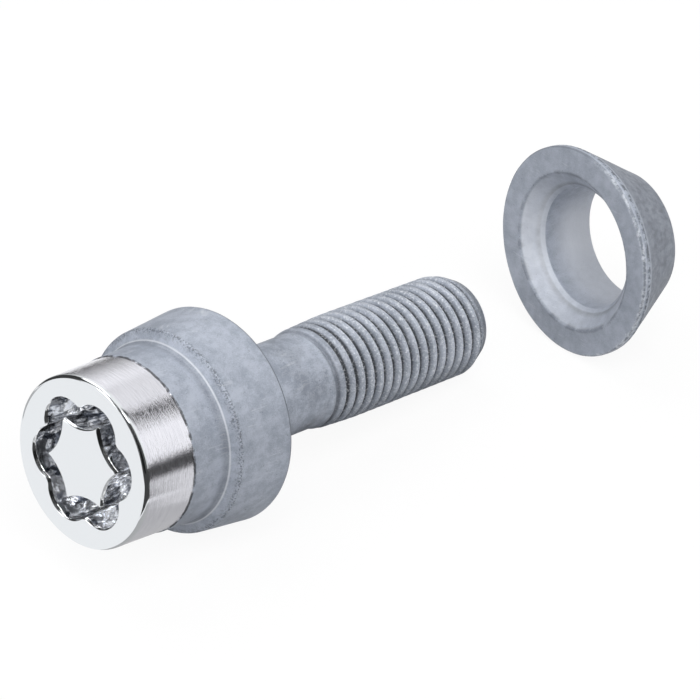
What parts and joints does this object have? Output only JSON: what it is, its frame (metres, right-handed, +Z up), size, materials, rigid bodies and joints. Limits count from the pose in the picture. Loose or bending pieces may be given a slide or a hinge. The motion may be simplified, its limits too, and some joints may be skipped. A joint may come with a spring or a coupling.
{
  "type": "locking wheel bolt",
  "caption": "Round-headed locking wheel bolt with a wavy closed key groove, a flange and a threaded shank, and its loose taper ring.",
  "frame": {"origin": "on the floor under the middle of the box around both pieces", "axes": "+Y from the bolt's head toward its tip, along the floor, and +Z up"},
  "size_m": [0.0316, 0.0826, 0.0247],
  "materials": {
    "bolt_steel": "bright polished chrome on the head end, matt silver-grey flake coating on the rest",
    "ring_steel": "matt silver-grey flake coating"
  },
  "bodies": {
    "root": {"wheel_bolt": "bolt_steel", "taper_ring": "ring_steel"}
  },
  "joints": []
}
